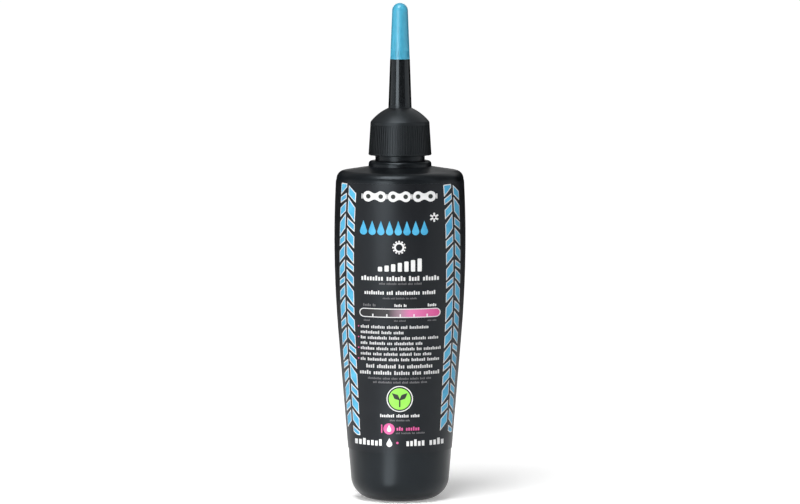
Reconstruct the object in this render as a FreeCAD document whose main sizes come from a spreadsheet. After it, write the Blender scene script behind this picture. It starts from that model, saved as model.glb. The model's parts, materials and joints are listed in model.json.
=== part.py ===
"""Chain lube bottle: a blown bottle with its printed sleeve, a screw-on drip spout and a push-on tip cap.

Millimetres, +Z up. The origin is the middle of the ring that the bottle stands on, and all five pieces
share the Z axis. They are modelled closed: spout screwed home on its sealing washer, tip cap pushed on.
"""
import FreeCAD, Part
import Sketcher
import math
import os

# Driving dimensions. Heights are stacked from the ground up, so a change of one carries what stands on it.
DIMENSIONS = {
    # bottle body
    "wall": 1.1,
    "base_wall": 1.3,
    "pushup_radius": 6.2,
    "pushup_height": 1.2,
    "pushup_slope": 0.7,
    "heel_radius": 16.6,
    "heel_round": 8.0,
    "taper_height": 58.0,
    "belly_rise": 33.4,
    "belly_radius": 22.78,
    "belly_curve": 399.0,
    "body_height": 115.0,
    "shoulder_lead": 3.0,
    "shoulder_rise": 1.75,
    "shoulder_round": 3.0,
    "shoulder_bevel": 1.5,
    # bottle neck
    "thread_root": 8.05,
    "neck_wall": 1.55,
    "neck_swell": 0.6,
    "neck_step": 0.4,
    "collar_overhang": 2.35,
    "collar_height": 2.05,
    "collar_round": 1.2,
    "finish_height": 12.1,
    "mouth_bevel": 1.2,
    "lip_bevel": 0.4,
    # screw thread of neck and spout
    "thread_pitch": 3.175,
    "thread_turns": 1.5,
    "thread_depth": 0.9,
    "thread_foot": 1.8,
    "thread_crest": 0.8,
    "thread_drop": 7.2,
    "thread_runout": 2.8,
    "thread_play": 0.12,
    "thread_gap": 0.25,
    "weld": 0.15,
    # printed sleeve
    "film": 0.12,
    "film_gap": 0.05,
    "film_bottom": 18.0,
    "film_margin": 0.1,
    # sealing washer
    "washer_thickness": 1.0,
    "washer_step": 0.2,
    "washer_play": 0.2,
    # drip spout: skirt, dome, spout and nose
    "skirt_reach": 3.0,
    "skirt_wall": 1.85,
    "skirt_taper": 0.065,
    "skirt_rim": 0.6,
    "skirt_bevel": 0.25,
    "rib_count": 75,
    "rib_width": 0.45,
    "rib_depth": 0.25,
    "rib_relief": 0.02,
    "band_height": 1.0,
    "dome_cover": 0.4,
    "dome_height": 4.85,
    "dome_curve": 16.4,
    "dome_round": 0.7,
    "funnel_step": 0.2,
    "spout_bore": 2.9,
    "spout_wall": 1.18,
    "spout_length": 16.95,
    "ledge_width": 0.96,
    "nose_bore": 1.45,
    "nose_wall": 1.05,
    "nose_length": 15.1,
    "nose_bevel": 0.4,
    "drip_radius": 0.8,
    "drip_length": 1.6,
    # tip cap
    "tip_gap": 0.1,
    "tip_flush": 0.03,
    "tip_wall": 0.8,
    "tip_head": 4.5,
    "tip_end_wall": 1.6,
    "tip_rim": 0.7,
    "tip_band": 2.2,
    "tip_rib_count": 24,
    "tip_rib_width": 0.45,
    "tip_rib_depth": 0.15,
}

doc = FreeCAD.newDocument("chain_lube_bottle")
dims = doc.addObject("Spreadsheet::Sheet", "dims")
for row, (alias, number) in enumerate(DIMENSIONS.items(), 1):
    dims.set(f"A{row}", alias)
    dims.set(f"B{row}", str(number))
    dims.setAlias(f"B{row}", alias)
doc.recompute()


def measure(formula):
    """Work out a sheet formula as a plain number."""
    return float(dims.evalExpression(formula))


def origin_feature(body, role):
    return next(feature for feature in body.Origin.OriginFeatures if feature.Role == role)


def pin(sketch, edge, vertex, axis, formula):
    """Hold one coordinate of a sketch vertex at a sheet formula, or on the axis where it is zero."""
    if formula == "0":
        line = {"X": -2, "Y": -1}[axis]
        sketch.addConstraint(Sketcher.Constraint("PointOnObject", edge, vertex, line))
        return
    constraint = Sketcher.Constraint(f"Distance{axis}", -1, 1, edge, vertex, measure(formula))
    number = sketch.addConstraint(constraint)
    sketch.setExpression(f"Constraints[{number}]", formula)


def outward_arc(start, end, radius):
    """Arc from start to end that bulges to the right of the way from one to the other."""
    chord = end - start
    bulge = FreeCAD.Vector(chord.y, -chord.x, 0).normalize()
    sagitta = radius - math.sqrt(radius**2 - (chord.Length / 2) ** 2)
    return Part.Arc(start, (start + end) * 0.5 + bulge * sagitta, end)


def section(body, name, points, arcs=None):
    """Closed outline on the XZ plane through (radius, height) formulas; arcs are {edge number: radius}."""
    arcs = arcs or {}
    sketch = body.newObject("Sketcher::SketchObject", name)
    sketch.AttachmentSupport = [(origin_feature(body, "XZ_Plane"), "")]
    sketch.MapMode = "FlatFace"
    spots = [FreeCAD.Vector(measure(radius), measure(height), 0) for radius, height in points]
    ends = []
    for edge, start in enumerate(spots):
        end = spots[(edge + 1) % len(spots)]
        if edge in arcs:
            shape = outward_arc(start, end, measure(arcs[edge]))
        else:
            shape = Part.LineSegment(start, end)
        sketch.addGeometry(shape, False)
        forward = sketch.Geometry[edge].StartPoint.isEqual(start, 1e-6)
        ends.append((1, 2) if forward else (2, 1))
    for edge, (radius, height) in enumerate(points):
        before = (edge - 1) % len(points)
        meet = Sketcher.Constraint("Coincident", before, ends[before][1], edge, ends[edge][0])
        sketch.addConstraint(meet)
        pin(sketch, edge, ends[edge][0], "X", radius)
        pin(sketch, edge, ends[edge][0], "Y", height)
    for edge, radius in arcs.items():
        number = sketch.addConstraint(Sketcher.Constraint("Radius", edge, measure(radius)))
        sketch.setExpression(f"Constraints[{number}]", radius)
    return sketch


def new_piece(label):
    body = doc.addObject("PartDesign::Body", label)
    body.Label = label
    body.Placement = FreeCAD.Placement()
    return body


def turn(body, name, points, arcs=None, kind="Revolution"):
    """Turn a section round the Z axis, as a solid or, of the kind Groove, as a hollow in it."""
    sketch = section(body, f"{name}_section", points, arcs)
    feature = body.newObject(f"PartDesign::{kind}", name)
    feature.Profile = sketch
    feature.ReferenceAxis = (sketch, ["V_Axis"])
    feature.Angle = 360
    doc.recompute()


def ease_rings(body, name, rings, size, kind="Fillet"):
    """Round or, of the kind Chamfer, bevel the ring edges that lie at the given (radius, height) formulas."""
    base = body.Tip
    chosen = []
    for radius, height in rings:
        for number, edge in enumerate(base.Shape.Edges, 1):
            curve = edge.Curve
            if not isinstance(curve, Part.Circle):
                continue
            same_radius = abs(curve.Radius - measure(radius)) < 1e-4
            if same_radius and abs(curve.Center.z - measure(height)) < 1e-4:
                chosen.append(f"Edge{number}")
    feature = body.newObject(f"PartDesign::{kind}", name)
    feature.Base = (base, chosen)
    feature.setExpression({"Fillet": "Radius", "Chamfer": "Size"}[kind], size)
    doc.recompute()


def thread(body, name, foot_radius, crest_radius, height):
    """Right-hand screw ridge from foot to crest radius, its middle starting at the given height."""
    foot, crest = "dims.thread_foot / 2", "dims.thread_crest / 2"
    points = [
        (foot_radius, f"{height} - {foot}"),
        (crest_radius, f"{height} - {crest}"),
        (crest_radius, f"{height} + {crest}"),
        (foot_radius, f"{height} + {foot}"),
    ]
    sketch = section(body, f"{name}_section", points)
    feature = body.newObject("PartDesign::AdditiveHelix", name)
    feature.Profile = sketch
    feature.ReferenceAxis = (sketch, ["V_Axis"])
    feature.Mode = "pitch-turns-angle"
    feature.setExpression("Pitch", "dims.thread_pitch")
    feature.setExpression("Turns", "dims.thread_turns")
    doc.recompute()


def ribs(body, name, band, depth, width, count):
    """Upright ribs that fill a recessed band, given as its lower and upper (radius, height) formulas."""
    (low_radius, low), (high_radius, high) = band
    foot = f"({depth} + dims.weld)"
    points = [
        (f"{low_radius} - {foot}", f"{low} - dims.rib_relief"),
        (f"{low_radius} - dims.rib_relief", f"{low} - dims.rib_relief"),
        (f"{high_radius} - dims.rib_relief", f"{high} + dims.rib_relief"),
        (f"{high_radius} - {foot}", f"{high} + dims.rib_relief"),
    ]
    rib = body.newObject("PartDesign::Pad", f"{name}_first")
    rib.Profile = section(body, f"{name}_section", points)
    rib.SideType = "Symmetric"
    rib.setExpression("Length", width)
    doc.recompute()
    pattern = body.newObject("PartDesign::PolarPattern", name)
    pattern.Originals = [rib]
    pattern.Axis = (origin_feature(body, "Z_Axis"), [""])
    pattern.Angle = 360
    pattern.setExpression("Occurrences", count)
    body.Tip = pattern
    doc.recompute()


def wall_above(height):
    """Outer radius of the bottle on the curve above the taper."""
    rise = f"({height} - dims.taper_height - dims.belly_rise)"
    return f"(dims.belly_radius - dims.belly_curve + sqrt(dims.belly_curve ^ 2 - {rise} ^ 2))"


taper_radius = wall_above("dims.taper_height")


def wall_below(height):
    """Outer radius of the bottle on the straight taper above the heel."""
    return f"(dims.heel_radius + ({taper_radius} - dims.heel_radius) * {height} / dims.taper_height)"


# Bottle: one blown shell, standing on the ring round its pushed-up base, with a bead collar under the neck.
bottle = new_piece("bottle")
pushup_foot = "(dims.pushup_radius + dims.pushup_slope)"
belly_top = "(dims.body_height - dims.shoulder_lead)"
shoulder_radius = wall_above("dims.body_height")
collar_radius = "(dims.thread_root + dims.neck_swell + dims.collar_overhang)"
collar_bottom = "(dims.body_height + dims.shoulder_rise)"
collar_top = f"({collar_bottom} + dims.collar_height)"
lip = f"({collar_top} + dims.finish_height)"
thread_start = f"({lip} - dims.thread_drop)"
neck_top = f"({thread_start} - dims.thread_runout)"
neck_radius = "(dims.thread_root + dims.neck_swell)"
mouth_radius = "(dims.thread_root - dims.neck_wall)"
turn(
    bottle,
    "outside",
    [
        ("0", "dims.pushup_height"),
        ("dims.pushup_radius", "dims.pushup_height"),
        (pushup_foot, "0"),
        ("dims.heel_radius", "0"),
        (taper_radius, "dims.taper_height"),
        (wall_above(belly_top), belly_top),
        (shoulder_radius, "dims.body_height"),
        (collar_radius, collar_bottom),
        (collar_radius, collar_top),
        (neck_radius, collar_top),
        (neck_radius, neck_top),
        ("dims.thread_root", f"{neck_top} + dims.neck_step"),
        ("dims.thread_root", lip),
        ("0", lip),
    ],
    {4: "dims.belly_curve"},
)
inner_pushup = "dims.pushup_height + dims.base_wall"
inner_heel = (f"{wall_below('dims.base_wall')} - dims.wall", "dims.base_wall")
inner_shoulder = (f"({shoulder_radius} - dims.wall)", "(dims.body_height - dims.wall)")
shoulder_slope = f"dims.shoulder_rise / ({shoulder_radius} - {collar_radius})"
mouth_bottom = f"{inner_shoulder[1]} + {shoulder_slope} * ({inner_shoulder[0]} - {mouth_radius})"
turn(
    bottle,
    "inside",
    [
        ("0", inner_pushup),
        ("dims.pushup_radius + dims.wall / 2", inner_pushup),
        (f"{pushup_foot} + dims.wall / 2", "dims.base_wall"),
        inner_heel,
        (f"{taper_radius} - dims.wall", "dims.taper_height"),
        (f"{wall_above(belly_top)} - dims.wall", f"{belly_top} - dims.wall"),
        inner_shoulder,
        (mouth_radius, mouth_bottom),
        (mouth_radius, lip),
        ("0", lip),
    ],
    {4: "dims.belly_curve - dims.wall"},
    kind="Groove",
)
ease_rings(bottle, "heel_outside", [("dims.heel_radius", "0")], "dims.heel_round")
ease_rings(bottle, "heel_inside", [inner_heel], "dims.heel_round - dims.wall")
ease_rings(bottle, "shoulder_outside", [(shoulder_radius, "dims.body_height")], "dims.shoulder_round")
ease_rings(bottle, "shoulder_inside", [inner_shoulder], "dims.shoulder_bevel", kind="Chamfer")
ease_rings(bottle, "collar_bead", [(collar_radius, collar_top)], "dims.collar_round")
ease_rings(bottle, "mouth_inside", [(mouth_radius, mouth_bottom)], "dims.mouth_bevel", kind="Chamfer")
lip_edges = [("dims.thread_root", lip), (mouth_radius, lip)]
ease_rings(bottle, "lip_edges", lip_edges, "dims.lip_bevel", kind="Chamfer")
neck_ridge = ("dims.thread_root - dims.weld", "dims.thread_root + dims.thread_depth")
thread(bottle, "neck_thread", *neck_ridge, thread_start)

# Printed sleeve: thin film shrunk round the wall, from above the heel to the shoulder.
label_sleeve = new_piece("label_sleeve")
film_top = f"({belly_top} - dims.film_margin)"


def film_section(growth):
    """Solid of the sleeved stretch of the bottle, grown outwards by a formula."""
    return [
        ("0", "dims.film_bottom"),
        (f"{wall_below('dims.film_bottom')} + {growth}", "dims.film_bottom"),
        (f"{taper_radius} + {growth}", "dims.taper_height"),
        (f"{wall_above(film_top)} + {growth}", film_top),
        ("0", film_top),
    ]


film_outside = "dims.film_gap + dims.film"
turn(label_sleeve, "film", film_section(film_outside), {2: f"dims.belly_curve + {film_outside}"})
film_inside = "dims.film_gap"
film_curve = {2: f"dims.belly_curve + {film_inside}"}
turn(label_sleeve, "bottle_space", film_section(film_inside), film_curve, kind="Groove")

# Sealing washer: flat ring between the lip of the neck and the roof of the spout.
seal_washer = new_piece("seal_washer")
skirt_inner = "(dims.thread_root + dims.thread_depth + dims.thread_gap)"
roof = f"({lip} + dims.washer_thickness)"
washer_inner = f"({mouth_radius} + dims.washer_step)"
washer_outer = f"({skirt_inner} - dims.washer_play)"
turn(
    seal_washer,
    "ring",
    [(washer_inner, lip), (washer_outer, lip), (washer_outer, roof), (washer_inner, roof)],
)

# Drip spout: one moulding with a ribbed, threaded skirt, a dome and a hollow spout that ends in the nose.
spout_cap = new_piece("spout_cap")
skirt_bottom = f"({thread_start} - dims.skirt_reach)"
skirt_radius = f"({skirt_inner} + dims.skirt_wall)"
rim_top = f"({skirt_bottom} + dims.skirt_rim)"
dome_bottom = f"({roof} + dims.dome_cover)"
band_bottom = f"({dome_bottom} - dims.band_height)"
spout_bottom = f"({dome_bottom} + dims.dome_height)"
ledge = f"({spout_bottom} + dims.spout_length)"
nose_top = f"({ledge} + dims.nose_length)"
nose_radius = "(dims.nose_bore + dims.nose_wall)"
nose_tip_radius = "(dims.drip_radius + dims.nose_wall)"
ledge_radius = f"({nose_radius} + dims.ledge_width)"


def skirt_at(height):
    """Outer radius of the tapered skirt."""
    return f"({skirt_radius} - dims.skirt_taper * ({height} - {skirt_bottom}))"


turn(
    spout_cap,
    "moulding",
    [
        (skirt_inner, skirt_bottom),
        (skirt_radius, skirt_bottom),
        (skirt_at(rim_top), rim_top),
        (f"{skirt_at(rim_top)} - dims.rib_depth", rim_top),
        (f"{skirt_at(band_bottom)} - dims.rib_depth", band_bottom),
        (skirt_at(band_bottom), band_bottom),
        (skirt_at(dome_bottom), dome_bottom),
        ("dims.spout_bore + dims.spout_wall", spout_bottom),
        (ledge_radius, ledge),
        (nose_radius, ledge),
        (nose_tip_radius, nose_top),
        ("dims.drip_radius", nose_top),
        ("dims.drip_radius", f"{nose_top} - dims.drip_length"),
        ("dims.nose_bore", ledge),
        ("dims.spout_bore", spout_bottom),
        (f"{washer_inner} + dims.funnel_step", roof),
        (skirt_inner, roof),
    ],
    {6: "dims.dome_curve"},
)
ease_rings(spout_cap, "dome_edge", [(skirt_at(dome_bottom), dome_bottom)], "dims.dome_round")
ease_rings(spout_cap, "skirt_edge", [(skirt_radius, skirt_bottom)], "dims.skirt_bevel", kind="Chamfer")
ease_rings(spout_cap, "nose_edge", [(nose_tip_radius, nose_top)], "dims.nose_bevel", kind="Chamfer")
# The ridge of the skirt bears on the underside of the ridge of the neck, with a little play between them.
flank_slope = "(dims.thread_foot - dims.thread_crest) / (2 * dims.thread_depth)"
ridge_middles = f"(dims.thread_foot + dims.thread_crest) / 2 - dims.thread_gap * {flank_slope}"
ridge_start = f"({thread_start} - ({ridge_middles} + dims.thread_play))"
skirt_ridge = (f"{skirt_inner} + dims.weld", "dims.thread_root + dims.thread_gap")
thread(spout_cap, "skirt_thread", *skirt_ridge, ridge_start)
skirt_band = [(skirt_at(rim_top), rim_top), (skirt_at(band_bottom), band_bottom)]
ribs(spout_cap, "skirt_ribs", skirt_band, "dims.rib_depth", "dims.rib_width", "dims.rib_count")

# Tip cap: small tapered cap with a round end, pushed over the nose down to the ledge of the spout.
tip_cap = new_piece("tip_cap")
tip_top = f"({nose_top} + dims.tip_head)"
tip_rim_radius = f"({ledge_radius} - dims.tip_flush)"
tip_end_radius = f"({nose_tip_radius} + dims.tip_gap + dims.tip_wall)"
tip_end = f"({tip_top} - {tip_end_radius})"
tip_taper = f"({tip_rim_radius} - {tip_end_radius}) / ({tip_end} - {ledge})"
tip_band_bottom = f"({ledge} + dims.tip_rim)"
tip_band_top = f"({tip_band_bottom} + dims.tip_band)"


def tip_at(height):
    """Outer radius of the tapered wall of the tip cap."""
    return f"({tip_rim_radius} - {tip_taper} * ({height} - {ledge}))"


turn(
    tip_cap,
    "outside",
    [
        ("0", ledge),
        (tip_rim_radius, ledge),
        (tip_at(tip_band_bottom), tip_band_bottom),
        (f"{tip_at(tip_band_bottom)} - dims.tip_rib_depth", tip_band_bottom),
        (f"{tip_at(tip_band_top)} - dims.tip_rib_depth", tip_band_top),
        (tip_at(tip_band_top), tip_band_top),
        (tip_end_radius, tip_end),
        ("0", tip_top),
    ],
    {6: tip_end_radius},
)
turn(
    tip_cap,
    "inside",
    [
        ("0", ledge),
        (f"{nose_radius} + dims.tip_gap", ledge),
        (f"{nose_tip_radius} + dims.tip_gap", nose_top),
        ("0", f"{tip_top} - dims.tip_end_wall"),
    ],
    kind="Groove",
)
tip_grip = [(tip_at(tip_band_bottom), tip_band_bottom), (tip_at(tip_band_top), tip_band_top)]
ribs(tip_cap, "grip_ribs", tip_grip, "dims.tip_rib_depth", "dims.tip_rib_width", "dims.tip_rib_count")

doc.recompute()
for item in doc.Objects:
    if "Invalid" in item.State or "Error" in item.State:
        raise RuntimeError(f"{item.Name} failed: {item.State}")

pieces = [bottle, label_sleeve, seal_washer, spout_cap, tip_cap]
for piece in pieces:
    if piece.Shape.isNull() or not piece.Shape.isValid() or len(piece.Shape.Solids) != 1:
        raise RuntimeError(f"{piece.Label} is not one valid solid")

os.makedirs("parts", exist_ok=True)
for piece in pieces:
    piece.Shape.exportStep(f"parts/{piece.Label}.step")
    print(f"{piece.Label}: {piece.Shape.Volume:.1f} cubic millimetres")
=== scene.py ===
"""Looks of the chain lube bottle: finishes for its five solids, the print on its sleeve, light and camera.

Objects are in metres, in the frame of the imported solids: +Z up, the front of the print towards -Y.
Sizes are named in millimetres and multiplied by MM, apart from those of the floor and the lamps.
"""
import json
import math

import bmesh
import bpy
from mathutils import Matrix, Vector

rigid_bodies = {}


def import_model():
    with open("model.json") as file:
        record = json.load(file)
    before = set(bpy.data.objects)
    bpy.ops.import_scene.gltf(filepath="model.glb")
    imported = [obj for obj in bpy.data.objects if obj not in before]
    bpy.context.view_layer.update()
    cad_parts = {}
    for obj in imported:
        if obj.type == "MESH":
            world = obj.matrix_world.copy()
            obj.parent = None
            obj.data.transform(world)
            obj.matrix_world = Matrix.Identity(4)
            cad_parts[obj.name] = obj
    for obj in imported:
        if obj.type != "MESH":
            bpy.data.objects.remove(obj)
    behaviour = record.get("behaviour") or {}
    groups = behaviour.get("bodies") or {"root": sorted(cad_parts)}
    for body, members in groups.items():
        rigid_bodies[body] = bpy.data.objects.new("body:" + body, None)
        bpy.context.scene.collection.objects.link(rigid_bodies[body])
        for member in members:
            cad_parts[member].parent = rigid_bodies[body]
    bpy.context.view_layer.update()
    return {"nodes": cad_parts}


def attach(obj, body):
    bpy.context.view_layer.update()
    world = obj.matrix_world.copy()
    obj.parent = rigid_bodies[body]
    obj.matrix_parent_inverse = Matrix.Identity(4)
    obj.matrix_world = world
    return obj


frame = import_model()

# Bottle: high-density polyethylene, dyed charcoal right through and blown into a two-part mould.
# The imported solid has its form, so it gets only its finish; the sleeve covers most of it.
MM = 0.001
peel_size = 1.6
mottle_size = 14


def linear(hex_colour):
    """Linear RGBA of an sRGB hex colour."""
    parts = [int(hex_colour[at : at + 2], 16) / 255 for at in (1, 3, 5)]
    return [part / 12.92 if part <= 0.04045 else ((part + 0.055) / 1.055) ** 2.4 for part in parts] + [1]


def start_material(name, constants):
    """New material and its shader, with what is the same all over the surface set on the shader."""
    material = bpy.data.materials.new(name)
    material.use_nodes = True
    shader = material.node_tree.nodes["Principled BSDF"]
    for socket, value in constants.items():
        shader.inputs[socket].default_value = value
    return material, shader


def add_node(material, kind, settings=None, links=None, stops=None, feeds=None):
    """Add a node, with settings by property or input and stops as [(place, hex)], the two ends first.

    Links into it are {input: (node, output)}, and feeds out of it are {output: input of a later node}.
    """
    node = material.node_tree.nodes.new(kind)
    for name, value in (settings or {}).items():
        if isinstance(name, int) or name in node.inputs:
            node.inputs[name].default_value = value
        else:
            setattr(node, name, value)
    for name, (source, output) in (links or {}).items():
        material.node_tree.links.new(source.outputs[output], node.inputs[name])
    for number, (place, hex_colour) in enumerate(stops or []):
        ramp = node.color_ramp.elements
        stop = ramp[number] if number < 2 else ramp.new(place)
        stop.position = place
        stop.color = linear(hex_colour)
    for output, target in (feeds or {}).items():
        material.node_tree.links.new(node.outputs[output], target)
    return node


def grain_scale(size):
    """Noise scale whose grains are about the given size in millimetres, on coordinates in metres."""
    return 1 / (size * MM)


# Blown polyethylene: the cool mould leaves an even satin skin with a faint orange-peel ripple,
# so highlights are broad and soft, and the charcoal is mottled very slightly.
# Nearly all values of a noise lie in noise_span.
noise_span = {"From Min": 0.3, "From Max": 0.7}
cool_gloss = linear("#e4f1fa")
blown, shader = start_material(
    "blown_polyethylene_charcoal",
    {"IOR": 1.54, "Specular IOR Level": 0.235, "Specular Tint": cool_gloss},
)
place = add_node(blown, "ShaderNodeTexCoord")
mottle = add_node(
    blown,
    "ShaderNodeTexNoise",
    {"Scale": grain_scale(mottle_size), "Detail": 3},
    {"Vector": (place, "Object")},
)
add_node(
    blown,
    "ShaderNodeValToRGB",
    links={"Fac": (mottle, "Fac")},
    stops=[(0.35, "#0d0f11"), (0.65, "#121518")],
    feeds={"Color": shader.inputs["Base Color"]},
)
add_node(
    blown,
    "ShaderNodeMapRange",
    {**noise_span, "To Min": 0.29, "To Max": 0.34},
    {"Value": (mottle, "Fac")},
    feeds={"Result": shader.inputs["Roughness"]},
)
peel = add_node(
    blown,
    "ShaderNodeTexNoise",
    {"Scale": grain_scale(peel_size), "Detail": 2},
    {"Vector": (place, "Object")},
)
add_node(
    blown,
    "ShaderNodeBump",
    {"Strength": 0.12, "Distance": 0.05 * MM},
    {"Height": (peel, "Fac")},
    feeds={"Normal": shader.inputs["Normal"]},
)
frame["nodes"]["bottle"].material_slots[0].material = blown

# Printed sleeve: a tube of thin polyester film, printed black all over and shrunk tight round the bottle.
# Its two ends are glued in one upright seam at the back.
seam_width = 1.6
seam_polish = 0.14
ripple_size = 9
ripple_part = 0.2
sleeve = frame["nodes"]["label_sleeve"]

# Shrunk polyester film: flatter and more matt than the bare bottle, a purplish black,
# with slow ripples from the shrink tunnel and the raised, smoother lap of the glued seam.
film, shader = start_material(
    "shrunk_polyester_film_black",
    {"IOR": 1.57, "Specular IOR Level": 0.26, "Specular Tint": cool_gloss},
)
place = add_node(film, "ShaderNodeTexCoord")
slow = add_node(
    film,
    "ShaderNodeTexNoise",
    {"Scale": grain_scale(ripple_size), "Detail": 2},
    {"Vector": (place, "Object")},
)
add_node(
    film,
    "ShaderNodeValToRGB",
    links={"Fac": (slow, "Fac")},
    stops=[(0.3, "#0a0a0d"), (0.7, "#0f0f12")],
    feeds={"Color": shader.inputs["Base Color"]},
)
sheen = add_node(
    film,
    "ShaderNodeMapRange",
    {**noise_span, "To Min": 0.38, "To Max": 0.42},
    {"Value": (slow, "Fac")},
)
axes = add_node(film, "ShaderNodeSeparateXYZ", links={"Vector": (place, "Object")})
sideways = add_node(film, "ShaderNodeMath", {"operation": "ABSOLUTE"}, {0: (axes, "X")})
within = add_node(
    film,
    "ShaderNodeMath",
    {"operation": "LESS_THAN", 1: seam_width / 2 * MM},
    {0: (sideways, "Value")},
)
behind = add_node(film, "ShaderNodeMath", {"operation": "GREATER_THAN", 1: 0.0}, {0: (axes, "Y")})
lap = add_node(
    film,
    "ShaderNodeMath",
    {"operation": "MULTIPLY"},
    {0: (within, "Value"), 1: (behind, "Value")},
)
add_node(
    film,
    "ShaderNodeMath",
    {"operation": "MULTIPLY_ADD", 1: -seam_polish},
    {0: (lap, "Value"), 2: (sheen, "Result")},
    feeds={"Value": shader.inputs["Roughness"]},
)
height = add_node(
    film,
    "ShaderNodeMath",
    {"operation": "MULTIPLY_ADD", 1: ripple_part},
    {0: (slow, "Fac"), 2: (lap, "Value")},
)
add_node(
    film,
    "ShaderNodeBump",
    {"Strength": 0.45, "Distance": 0.12 * MM},
    {"Height": (height, "Value")},
    feeds={"Normal": shader.inputs["Normal"]},
)
sleeve.material_slots[0].material = film

# Side bands: a tyre-tread pattern printed up both flanks of the sleeve in blue with white edges.
# Flexographic ink on the film: each band is laid out flat, cut to its width and pressed on the sleeve.
PRINT_PLANE = -30 * MM
ink_level = 0.35
ink_wander = 0.08
ink_lift = 0.05
ink_depth = 0.04
strip_width = 1.2
smooth_angle = 30
band_turn = 56.6
band_lean = 1.87
band_half = 4.35
band_bottom = 23.8
band_top = 111.5
# Slant and depth of each tread block, then for each column its first block and how far that starts
# above the foot of the band.
tread_rows = [(36, 3.3), (29, 2.3), (41, 3.8), (33, 2.7), (25, 1.9), (38, 3.1)]
tread_starts = {-1: (0, 3), 1: (3, -4.5)}
tread_sliver = 0.5
tread_gap = 1.35
tread_groove = 0.55
tread_edge = 0.3


def printed(name, grain, roughness, stops):
    """Flexographic ink: a thin even coat whose shade wanders a little with the pressure of the plate."""
    ink, shader = start_material(name, {"Specular IOR Level": ink_level})
    place = add_node(ink, "ShaderNodeTexCoord")
    pressure = add_node(
        ink,
        "ShaderNodeTexNoise",
        {"Scale": grain_scale(grain), "Detail": 3},
        {"Vector": (place, "Object")},
    )
    add_node(
        ink,
        "ShaderNodeValToRGB",
        links={"Fac": (pressure, "Fac")},
        stops=stops,
        feeds={"Color": shader.inputs["Base Color"]},
    )
    add_node(
        ink,
        "ShaderNodeMapRange",
        {**noise_span, "To Min": roughness, "To Max": roughness + ink_wander},
        {"Value": (pressure, "Fac")},
        feeds={"Result": shader.inputs["Roughness"]},
    )
    return ink


def open_plate(name, inks):
    """Start a printing plate: an empty mesh in edit mode, with one slot for each ink."""
    bpy.ops.object.select_all(action="DESELECT")
    plate = bpy.data.objects.new(name, bpy.data.meshes.new(name))
    bpy.context.collection.objects.link(plate)
    bpy.context.view_layer.objects.active = plate
    plate.select_set(True)
    for ink in inks:
        plate.data.materials.append(ink)
    bpy.ops.object.mode_set(mode="EDIT")
    return plate


def take_ink(plate, ink):
    """Give the selected marks one of the plate's inks."""
    plate.active_material_index = plate.data.materials.find(ink.name)
    bpy.ops.object.material_slot_assign()


def on_plate(x, z):
    """Point of the plate at (x, z) in millimetres."""
    return (x * MM, PRINT_PLANE, z * MM)


def turn_marks(x, z, degrees):
    """Turn the selected marks clockwise about (x, z)."""
    bpy.ops.transform.rotate(value=-math.radians(degrees), orient_axis="Y", center_override=on_plate(x, z))


def block(x, z, width, height, corner=0, turn=0):
    """Flat block at (x, z) on the plate, in millimetres, with round corners and turned by degrees."""
    bpy.ops.mesh.primitive_plane_add(size=MM, location=on_plate(x, z), rotation=(math.pi / 2, 0, 0))
    bpy.ops.transform.resize(value=(width, 1, height), center_override=on_plate(x, z))
    if corner:
        bpy.ops.mesh.bevel(offset=corner * MM, affect="VERTICES", segments=4)
    if turn:
        turn_marks(x, z, turn)


def score(x):
    """Score all marks on the plate along the upright line at x."""
    bpy.ops.mesh.select_all(action="SELECT")
    bpy.ops.mesh.bisect(plane_co=on_plate(x, 0), plane_no=(1, 0, 0))


def trim(x, z, normal):
    """Trim what lies beyond a line through (x, z), on the side to which its normal points."""
    bpy.ops.mesh.select_all(action="SELECT")
    bpy.ops.mesh.bisect(plane_co=on_plate(x, z), plane_no=normal, clear_outer=True)


def press(plate, half_width, lift=ink_lift, turn=0):
    """Score the plate into narrow upright strips, press it on the sleeve and turn it round the bottle."""
    strips = math.ceil(half_width / strip_width)
    for strip in range(-strips, strips + 1):
        score(strip * strip_width)
    bpy.ops.object.mode_set(mode="OBJECT")
    wrap = plate.modifiers.new("wrap", "SHRINKWRAP")
    wrap.target = sleeve
    wrap.wrap_method = "PROJECT"
    wrap.use_project_y = True
    wrap.offset = lift * MM
    coat = plate.modifiers.new("coat", "SOLIDIFY")
    coat.thickness = ink_depth * MM
    coat.offset = -1
    for modifier in (wrap.name, coat.name):
        bpy.ops.object.modifier_apply(modifier=modifier)
    plate.rotation_euler.z = math.radians(turn)
    bpy.ops.object.transform_apply(location=False, rotation=True, scale=False)
    bpy.ops.object.shade_smooth_by_angle(angle=math.radians(smooth_angle))
    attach(plate, "bottle")


def tread_column(side):
    """Slanted tread blocks up one side of the band's groove, trimmed to the column and hidden."""
    row, start = tread_starts[side]
    z = band_bottom + start
    middle = side * (band_half + tread_groove) / 2
    while z < band_top - tread_sliver:
        slant, depth = tread_rows[row % len(tread_rows)]
        rise = depth / math.cos(math.radians(slant))
        block(middle, z + rise / 2, 3 * band_half, depth, turn=side * slant)
        z += rise + tread_gap
        row += 1
    trim(side * tread_groove, 0, (-side, 0, 0))
    trim(side * band_half, 0, (side, 0, 0))
    bpy.ops.mesh.select_all(action="SELECT")
    bpy.ops.mesh.hide()


# Opaque white: a dense coat that keeps a trace of grey from the black film under it.
white_ink = printed("flexo_ink_white", 2.5, 0.42, [(0.3, "#cdcecf"), (0.7, "#d9d9d9")])
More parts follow.
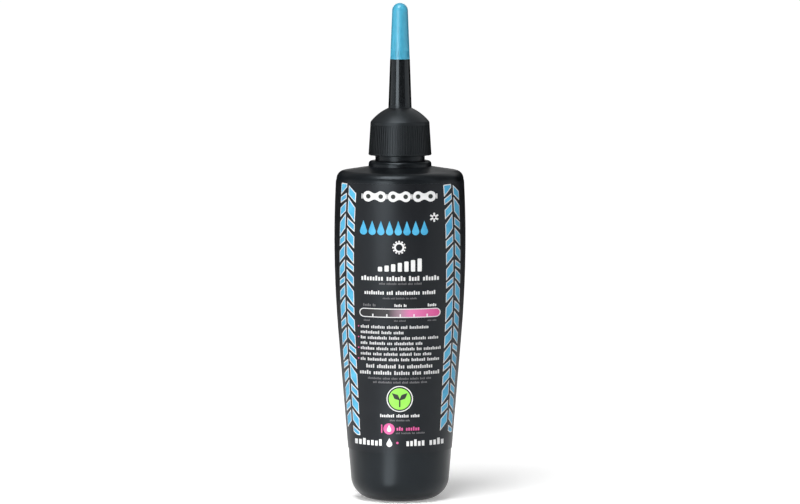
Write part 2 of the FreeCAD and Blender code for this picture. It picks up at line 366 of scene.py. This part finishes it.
# Transparent process blue over white: pale where the coat is thin and deeper where it pools.
blue_ink = printed("flexo_ink_blue", 3.5, 0.4, [(0.3, "#3592bd"), (0.7, "#54afd3")])
for side, name in ((-1, "side_band_left"), (1, "side_band_right")):
    band = open_plate(name, [white_ink, blue_ink])
    for column in (-1, 1):
        tread_column(column)
    bpy.ops.mesh.reveal()
    trim(0, band_bottom, (0, 0, -1))
    trim(0, band_top, (0, 0, 1))
    bpy.ops.mesh.select_all(action="SELECT")
    bpy.ops.mesh.inset(thickness=tread_edge * MM, use_individual=True)
    take_ink(band, blue_ink)
    bpy.ops.mesh.select_all(action="SELECT")
    turn_marks(0, (band_bottom + band_top) / 2, -side * band_lean)
    press(band, 2 * band_half, turn=side * band_turn)

# Front print: one panel between the bands, in white, grey, blue, pink and green ink.
# Pictograms, a wetness gauge and rows of blocks stand where a label has its name and its text.
panel_half = 16.8
type_gap = 0.36
type_pitch = 0.58
type_rises = (1.0, 0.74, 0.78, 1.0, 0.72, 0.8, 0.74)
type_words = (7, 4, 9, 3, 11, 6, 5, 8)


def disc(x, z, radius, sides=40):
    """Flat round mark at (x, z) on the plate, in millimetres."""
    bpy.ops.mesh.primitive_circle_add(
        vertices=sides,
        radius=radius * MM,
        fill_type="NGON",
        location=on_plate(x, z),
        rotation=(math.pi / 2, 0, 0),
    )


def hollow(wall):
    """Take the middle out of the selected mark, leaving an outline."""
    bpy.ops.mesh.inset(thickness=wall * MM)
    bpy.ops.mesh.delete(type="FACE")


def blocks_round(x, z, radius, count, width, height, corner=0):
    """Blocks set round (x, z) at a radius, each turned to point outwards."""
    for number in range(count):
        turn = 360 / count * number
        across = radius * math.sin(math.radians(turn))
        up = radius * math.cos(math.radians(turn))
        block(x + across, z + up, width, height, corner, turn)


def corner_at(x, z):
    """Select only the corner of a mark nearest to (x, z)."""
    bpy.ops.mesh.select_all(action="DESELECT")
    plate_mesh = bmesh.from_edit_mesh(bpy.context.edit_object.data)
    spot = Vector(on_plate(x, z))
    min(plate_mesh.verts, key=lambda corner: (corner.co - spot).length).select = True


def corners_along(x):
    """Select only the corners of marks on the upright line at x."""
    bpy.ops.mesh.select_all(action="DESELECT")
    plate_mesh = bmesh.from_edit_mesh(bpy.context.edit_object.data)
    for corner in plate_mesh.verts:
        corner.select = abs(corner.co.x - x * MM) < 0.01 * MM


def draw_out(x, z, radius, reach, ends=(1,)):
    """Disc drawn out to a point at the given reach, upwards (1), downwards (-1) or both ways."""
    sides = 36
    disc(x, z, radius, sides)
    touch = math.acos(radius / reach)
    for end in ends:
        for step in range(1, math.ceil(touch / (2 * math.pi / sides))):
            for side in (-1, 1):
                angle = side * step * 2 * math.pi / sides
                corner_at(x + radius * math.sin(angle), z + end * radius * math.cos(angle))
                bpy.ops.mesh.dissolve_verts()
        corner_at(x, z + end * radius)
        bpy.ops.transform.translate(value=(0, 0, end * (reach - radius) * MM))
    bpy.ops.mesh.select_linked()


def type_row(left, right, z, height):
    """Row of type as plain blocks, in words of mixed length, from left to right."""
    letters = round((right - left) / (type_pitch * height))
    pitch = (right - left) / letters
    word = round(z)
    room = type_words[word % len(type_words)]
    for letter in range(letters):
        if room == 0 and letter < letters - 2:
            word += 1
            room = type_words[word % len(type_words)]
            continue
        room -= 1
        tall = height * type_rises[(letter + word) % len(type_rises)]
        block(left + (letter + 0.5) * pitch, z + (tall - height) / 2, pitch * (1 - type_gap), tall)


# Chain, on the white plate: a run of three waisted outer links, with an upright strip for the inner links
# between and beyond them.
white = open_plate("print_white", [white_ink])
chain_x = -0.2
chain_z = 107.6
pin_pitch = 4.3
link_height = 3.7
link_waist = 0.55
link_round = 0.49
joint_size = (0.34, 1.7)
waist_cuts = [number / 8 * pin_pitch for number in range(-3, 4)]
block(chain_x, chain_z, pin_pitch + link_height, link_height, corner=link_height * link_round)
for offset in waist_cuts:
    score(chain_x + offset)
for offset in waist_cuts:
    narrow = 1 - (1 - link_waist) * math.cos(math.pi * offset / pin_pitch) ** 2
    corners_along(chain_x + offset)
    bpy.ops.transform.resize(value=(1, 1, narrow), center_override=on_plate(chain_x, chain_z))
bpy.ops.mesh.select_all(action="SELECT")
# The second copy is moved from where the first one lies.
for pitches in (-2, 4):
    bpy.ops.mesh.duplicate()
    bpy.ops.transform.translate(value=(pitches * pin_pitch * MM, 0, 0))
for pitches in (-3, -1, 1, 3):
    block(chain_x + pitches * pin_pitch, chain_z, *joint_size)

# Spark and chainring, on the white plate.
spark_middle = (11.8, 100.3)
spark_radius = 1.0
ray_count = 6
ray_size = (0.6, 1.15)
ray_corner = 0.15
ring_middle = (-0.3, 90.1)
ring_radius = 1.75
ring_wall = 0.6
tooth_count = 12
tooth_radius = 2.08
tooth_size = (0.55, 0.5)
blocks_round(*spark_middle, spark_radius, ray_count, *ray_size, ray_corner)
disc(*ring_middle, ring_radius)
hollow(ring_wall)
blocks_round(*ring_middle, tooth_radius, tooth_count, *tooth_size)

# Level bars, on the white plate: each is taller than the one before.
bar_count = 7
bar_first = -6.9
bar_pitch = 2.28
bar_foot = 81.75
bar_width = 1.45
bar_corner = 0.3
bar_shortest = 1.6
bar_step = 0.48
for number in range(bar_count):
    tall = bar_shortest + bar_step * number
    block(bar_first + bar_pitch * number, bar_foot + tall / 2, bar_width, tall, bar_corner)

# Gauge outline and leaf ring, on the white plate.
gauge_middle = (0, 67.28)
gauge_size = (28.1, 3.15)
gauge_line = 0.28
gauge_round = 0.495
leaf_x = -0.1
leaf_z = 37.25
leaf_ring = 4.57
leaf_line = 0.32
block(*gauge_middle, *gauge_size, corner=gauge_size[1] * gauge_round)
hollow(gauge_line)
disc(leaf_x, leaf_z, leaf_ring)
hollow(leaf_line)

# Bold type, on the white plate: left and right end, middle height and size of each row.
# The last two are the contents line over the foot of the sleeve, with a drop in its gap.
contents_z = 21.75
contents_height = 2.3
contents_drop = (-3.7, contents_z - 0.45)
bold_rows = [
    (-13.5, 13.6, 79.4, 1.65),
    (-12.4, 12.3, 74.4, 1.35),
    (-2.0, 2.3, 70.0, 0.95),
    (9.5, 12.6, 70.0, 1.0),
    (-7.0, 6.8, 31.3, 1.1),
    (-15.9, -6.1, contents_z, contents_height),
    (2.0, 15.4, contents_z, contents_height),
]
for row in bold_rows:
    type_row(*row)
draw_out(*contents_drop, radius=1.0, reach=2.1)
press(white, panel_half)

# Small type: the same white in a fine face, which prints thinner and reads as pale grey.
# The copy rows start at one margin, and each has its right end and its middle height.
type_ink = printed("flexo_ink_fine_white", 2.0, 0.45, [(0.3, "#b8b9ba"), (0.7, "#cecece")])
copy_left = -13.7
copy_height = 1.05
copy_rows = [
    (9.9, 62.4),
    (1.3, 60.5),
    (13.3, 58.6),
    (7.8, 56.7),
    (14.2, 54.85),
    (10.9, 52.95),
    (13.6, 51.05),
]
closing_rows = [(-11.8, 11.3, 48.65, 1.3), (-14.0, 13.7, 46.4, 1.35)]
small = open_plate("print_small_type", [type_ink])
for right, z in copy_rows:
    type_row(copy_left, right, z, copy_height)
for row in closing_rows:
    type_row(*row)
press(small, panel_half)

# Grey type: faint finer rows among the white ones, in the same four measures.
grey_ink = printed("flexo_ink_grey", 2.0, 0.45, [(0.3, "#57575a"), (0.7, "#666669")])
grey_rows = [
    (-7.3, 7.5, 77.55, 0.75),
    (-6.0, 5.8, 72.45, 0.6),
    (-12.8, -8.4, 70.0, 0.9),
    (-12.6, -10.4, 64.65, 0.6),
    (-2.1, 2.0, 64.65, 0.6),
    (9.5, 12.6, 64.65, 0.6),
    (-11.2, 10.8, 44.4, 0.75),
    (-9.4, 9.4, 43.05, 0.75),
    (-3.6, 3.4, 29.7, 0.65),
    (-1.5, 8.6, 25.2, 0.65),
]
grey = open_plate("print_grey", [grey_ink])
for row in grey_rows:
    type_row(*row)
press(grey, panel_half)

# Blue plate: a row of drops for the name.
drop_first = -12.6
drop_pitch = 3.0
drop_count = 8
drop_z = 95.55
blue = open_plate("print_blue", [blue_ink])
for number in range(drop_count):
    draw_out(drop_first + drop_pitch * number, drop_z, radius=1.25, reach=3.7)
press(blue, panel_half)

# Gauge: the bar inside the white outline runs from dark for dry through pale to pink for wet.
# It is one fade of ink, with a hair of film left bare between it and the outline.
gauge_gap = 0.02
gauge_ink, shader = start_material(
    "flexo_ink_gauge_fade",
    {"Roughness": 0.45, "Specular IOR Level": ink_level},
)
place = add_node(gauge_ink, "ShaderNodeTexCoord")
axes = add_node(gauge_ink, "ShaderNodeSeparateXYZ", links={"Vector": (place, "Object")})
along = add_node(
    gauge_ink,
    "ShaderNodeMapRange",
    {"From Min": -gauge_size[0] / 2 * MM, "From Max": gauge_size[0] / 2 * MM},
    {"Value": (axes, "X")},
)
add_node(
    gauge_ink,
    "ShaderNodeValToRGB",
    links={"Fac": (along, "Result")},
    stops=[(0.12, "#1a1a1c"), (1.0, "#c24784"), (0.36, "#323133"), (0.5, "#8e7482"), (0.62, "#c66b9b")],
    feeds={"Color": shader.inputs["Base Color"]},
)
gauge = open_plate("print_gauge", [gauge_ink])
fade_size = [size - 2 * (gauge_line + gauge_gap) for size in gauge_size]
block(*gauge_middle, *fade_size, corner=fade_size[1] * gauge_round)
press(gauge, panel_half)

# Pink plate: a bullet before every other row of copy, the step disc with its bar and its row of type,
# and a dot in the contents line.
pink_ink = printed("flexo_ink_pink", 2.0, 0.42, [(0.3, "#c24784"), (0.7, "#cb5c92")])
bullet_gap = 0.65
bullet_radius = 0.22
step_x = -3.8
step_z = 26.65
step_radius = 1.95
step_drop = (step_x, step_z - 0.3)
step_row = (-1.3, 6.8, 26.75, 1.35)
step_bar = (-6.35, step_z, 0.4, 2.9)
dot_x = -0.9
dot_radius = 0.4
pink = open_plate("print_pink", [pink_ink])
for _, z in copy_rows[::2]:
    disc(copy_left - bullet_gap, z, bullet_radius, sides=12)
disc(step_x, step_z, step_radius)
type_row(*step_row)
block(*step_bar)
disc(dot_x, contents_z, dot_radius, sides=16)
press(pink, panel_half)

# Green plate: the round ground of the leaf mark.
green_ink = printed("flexo_ink_green", 2.0, 0.42, [(0.3, "#82ca46"), (0.7, "#8dd455")])
leaf_ground = 3.78
green = open_plate("print_green", [green_ink])
disc(leaf_x, leaf_z, leaf_ground)
press(green, panel_half)

# Overprint: black pins on the chain and a black sprout on the green, then a white drop on the pink disc
# and white ticks on the gauge.
black_ink = printed("flexo_ink_black", 2.0, 0.45, [(0.3, "#1f2320"), (0.7, "#262a27")])
over_lift = 0.1
pin_count = 6
pin_radius = 0.8
stem_size = (0.5, 2.6)
stem_corner = 0.1
stem_below = 1.6
leaf_aside = 1.25
leaf_above = 0.75
leaf_lean = 48
tick_places = (-9.4, -4.55, 0.1, 4.85, 9.4)
tick_z = 66.5
tick_size = (0.42, 0.9)
over = open_plate("print_overprint", [white_ink, black_ink])
for number in range(pin_count):
    disc(chain_x + (number - (pin_count - 1) / 2) * pin_pitch, chain_z, pin_radius, sides=24)
    take_ink(over, black_ink)
block(leaf_x, leaf_z - stem_below, *stem_size, stem_corner)
take_ink(over, black_ink)
for side in (-1, 1):
    x = leaf_x + side * leaf_aside
    z = leaf_z + leaf_above
    draw_out(x, z, radius=0.85, reach=1.95, ends=(1, -1))
    turn_marks(x, z, side * leaf_lean)
    take_ink(over, black_ink)
draw_out(*step_drop, radius=0.75, reach=1.75)
take_ink(over, white_ink)
for x in tick_places:
    block(x, tick_z, *tick_size)
    take_ink(over, white_ink)
press(over, panel_half, lift=over_lift)

# Sealing washer: a ring punched from closed-cell polyethylene foam, held between the lip and the roof.
# Its cut faces show fine bubbles; it is seen only when the spout is off.
cell_size = 0.45
foam, shader = start_material("punched_polyethylene_foam_white", {"Roughness": 0.75})
place = add_node(foam, "ShaderNodeTexCoord")
cells = add_node(
    foam,
    "ShaderNodeTexVoronoi",
    {"Scale": grain_scale(cell_size)},
    {"Vector": (place, "Object")},
)
add_node(
    foam,
    "ShaderNodeValToRGB",
    links={"Fac": (cells, "Distance")},
    stops=[(0.1, "#d9dbd8"), (0.8, "#f0f0ec")],
    feeds={"Color": shader.inputs["Base Color"]},
)
add_node(
    foam,
    "ShaderNodeBump",
    {"Strength": 0.4, "Distance": 0.1 * MM},
    {"Height": (cells, "Distance")},
    feeds={"Normal": shader.inputs["Normal"]},
)
frame["nodes"]["seal_washer"].material_slots[0].material = foam

# Drip spout: polypropylene, injection moulded in charcoal in one piece with its ribs and thread.
# The tool is lightly spark-eroded, so the dome and skirt are matt; it is polished from the spout's foot up.
erosion_size = 0.35
polish_from = 136
polish_to = 139
moulded, shader = start_material(
    "moulded_polypropylene_charcoal",
    {"IOR": 1.49, "Specular IOR Level": 0.38, "Specular Tint": cool_gloss},
)
place = add_node(moulded, "ShaderNodeTexCoord")
pits = add_node(
    moulded,
    "ShaderNodeTexNoise",
    {"Scale": grain_scale(erosion_size), "Detail": 2},
    {"Vector": (place, "Object")},
)
add_node(
    moulded,
    "ShaderNodeValToRGB",
    links={"Fac": (pits, "Fac")},
    stops=[(0.35, "#101213"), (0.65, "#16181a")],
    feeds={"Color": shader.inputs["Base Color"]},
)
axes = add_node(moulded, "ShaderNodeSeparateXYZ", links={"Vector": (place, "Object")})
add_node(
    moulded,
    "ShaderNodeMapRange",
    {"From Min": polish_from * MM, "From Max": polish_to * MM, "To Min": 0.45, "To Max": 0.18},
    {"Value": (axes, "Z")},
    feeds={"Result": shader.inputs["Roughness"]},
)
add_node(
    moulded,
    "ShaderNodeBump",
    {"Strength": 0.15, "Distance": 0.03 * MM},
    {"Height": (pits, "Fac")},
    feeds={"Normal": shader.inputs["Normal"]},
)
frame["nodes"]["spout_cap"].material_slots[0].material = moulded

# Tip cap: soft polyethylene, moulded in sky blue and pushed over the nose.
# Light enters the thin wall a little way, so its shades stay clear, under a waxy half-gloss.
flow_size = 2.2
waxy, shader = start_material(
    "moulded_polyethylene_sky_blue",
    {
        "IOR": 1.51,
        "Subsurface Weight": 0.12,
        "Subsurface Radius": (0.6, 1.0, 1.2),
        "Subsurface Scale": 0.8 * MM,
    },
)
place = add_node(waxy, "ShaderNodeTexCoord")
flow = add_node(
    waxy,
    "ShaderNodeTexNoise",
    {"Scale": grain_scale(flow_size), "Detail": 2},
    {"Vector": (place, "Object")},
)
add_node(
    waxy,
    "ShaderNodeValToRGB",
    links={"Fac": (flow, "Fac")},
    stops=[(0.3, "#3790ac"), (0.7, "#3f99b6")],
    feeds={"Color": shader.inputs["Base Color"]},
)
add_node(
    waxy,
    "ShaderNodeMapRange",
    {**noise_span, "To Min": 0.3, "To Max": 0.36},
    {"Value": (flow, "Fac")},
    feeds={"Result": shader.inputs["Roughness"]},
)
frame["nodes"]["tip_cap"].material_slots[0].material = waxy

# Floor: matt white paper that runs out of sight.
# The lamps light it near the bottle, where it keeps the shadow, and it glows to white further out.
# The camera sees that glow, directly, in gloss and through glass, but it lights nothing.
floor_half = 20
glow_reach = 3
bpy.ops.object.select_all(action="DESELECT")
bpy.ops.mesh.primitive_plane_add(size=2 * floor_half)
floor = bpy.context.object
floor.name = "studio_floor"
paper, shader = start_material("matt_paper_floor", {"Base Color": linear("#ececec"), "Roughness": 0.9})
sight = add_node(paper, "ShaderNodeLightPath")
direct = add_node(
    paper,
    "ShaderNodeMath",
    {"operation": "MAXIMUM"},
    {0: (sight, "Is Camera Ray"), 1: (sight, "Is Glossy Ray")},
)
add_node(
    paper,
    "ShaderNodeMath",
    {"operation": "MAXIMUM"},
    {0: (direct, "Value"), 1: (sight, "Is Transmission Ray")},
    feeds={"Value": shader.inputs["Emission Strength"]},
)
place = add_node(paper, "ShaderNodeTexCoord")
reach = add_node(paper, "ShaderNodeVectorMath", {"operation": "LENGTH"}, {"Vector": (place, "Object")})
part = add_node(paper, "ShaderNodeMapRange", {"From Max": glow_reach}, {"Value": (reach, "Value")})
add_node(
    paper,
    "ShaderNodeValToRGB",
    links={"Fac": (part, "Result")},
    stops=[(0.03, "#8f8f8f"), (1.0, "#eeeeee"), (0.23, "#bababa"), (0.57, "#e0e0e0")],
    feeds={"Color": shader.inputs["Emission Color"]},
)
floor.data.materials.append(paper)

# Flags: sheets of black velvet, as a photographer hangs them round a dark bottle on a white floor.
# Two stand behind it and darken its flanks, one stands in front; they are seen only in its gloss.
flags = [
    {"name": "studio_flag_left", "size": (480, 260), "middle": (-270, 275, 130), "turn": 18},
    {"name": "studio_flag_right", "size": (480, 260), "middle": (270, 275, 130), "turn": -18},
    {"name": "studio_flag_front", "size": (2400, 880), "middle": (0, -850, 440), "turn": 0},
]
velvet, _ = start_material(
    "black_velvet_flag",
    {"Base Color": linear("#060606"), "Specular IOR Level": 0.0, "Roughness": 1.0},
)
for sheet in flags:
    bpy.ops.mesh.primitive_plane_add(size=MM, rotation=(math.pi / 2, 0, math.radians(sheet["turn"])))
    flag = bpy.context.object
    flag.name = sheet["name"]
    flag.scale = (*sheet["size"], 1)
    flag.location = [distance * MM for distance in sheet["middle"]]
    bpy.ops.object.transform_apply()
    flag.data.materials.append(velvet)
    flag.visible_camera = False
    flag.visible_diffuse = False
    flag.visible_shadow = False

# Studio: a white cove round the floor that fades to a dim ceiling, and softboxes round the bottle.
# The cove's edges are heights of the line of sight, from 0 for level to 1 for straight up.
cove_edge = 0.03
ceiling_edge = 0.16
studio = bpy.data.worlds.new("white_studio")
bpy.context.scene.world = studio
studio.use_nodes = True
sky = studio.node_tree.nodes["Background"]
sky.inputs["Color"].default_value = linear("#ffffff")
place = add_node(studio, "ShaderNodeTexCoord")
axes = add_node(studio, "ShaderNodeSeparateXYZ", links={"Vector": (place, "Generated")})
add_node(
    studio,
    "ShaderNodeMapRange",
    {"From Min": cove_edge, "From Max": ceiling_edge, "To Min": 1.0, "To Max": 0.2},
    {"Value": (axes, "Z")},
    feeds={"Result": sky.inputs["Strength"]},
)


def softbox(name, turn, rise, distance, size, power, faces=0.09, shape="RECTANGLE"):
    """Softbox facing the axis at a height, at degrees round from the front and up from the level."""
    lamp = bpy.data.lights.new(name, "AREA")
    lamp.shape = shape
    lamp.size, lamp.size_y = size
    lamp.energy = power
    holder = bpy.data.objects.new(name, lamp)
    bpy.context.collection.objects.link(holder)
    bearing = math.radians(turn)
    level = math.cos(math.radians(rise))
    way = Vector((level * math.sin(bearing), -level * math.cos(bearing), math.sin(math.radians(rise))))
    holder.location = Vector((0, 0, faces)) + distance * way
    holder.rotation_euler = way.to_track_quat("Z", "Y").to_euler()
    return holder


softbox("key_low", turn=-28, rise=6.5, distance=0.8, size=(0.42, 0.3), power=2.65)
softbox("key_high", turn=-26, rise=54, distance=1.3, size=(0.75, 0.4), power=10.4)
softbox("key_top", turn=-26, rise=71.5, distance=1.3, size=(0.7, 0.4), power=7.8)
softbox("fill_right", turn=50, rise=22, distance=1.9, size=(1.0, 1.2), power=3)
softbox("fill_back", turn=155, rise=45, distance=2.0, size=(1.8, 1.6), power=5)
# A narrow bright card before the foot draws the highlight down the bare plastic; the camera doesn't see it.
foot_card = softbox(
    "foot_card",
    turn=-19,
    rise=-79,
    distance=0.33,
    size=(0.019, 0.08),
    power=0.0138,
    faces=0.334,
    shape="ELLIPSE",
)
foot_card.visible_camera = False

# Camera: a little above the cap and far off with a long lens, looking slightly down on the bottle.
image_width = 800
focal_pixels = 4029
camera_height = 205.6
camera_distance = 1405
camera_dip = 4.84
view = bpy.data.cameras.new("camera")
view.sensor_width = 36
view.lens = focal_pixels / image_width * view.sensor_width
view.clip_end = 100
camera = bpy.data.objects.new("camera", view)
bpy.context.collection.objects.link(camera)
camera.location = (0, -camera_distance * MM, camera_height * MM)
camera.rotation_euler = (math.radians(90 - camera_dip), 0, 0)
bpy.context.scene.camera = camera
bpy.context.scene.view_settings.view_transform = "Standard"
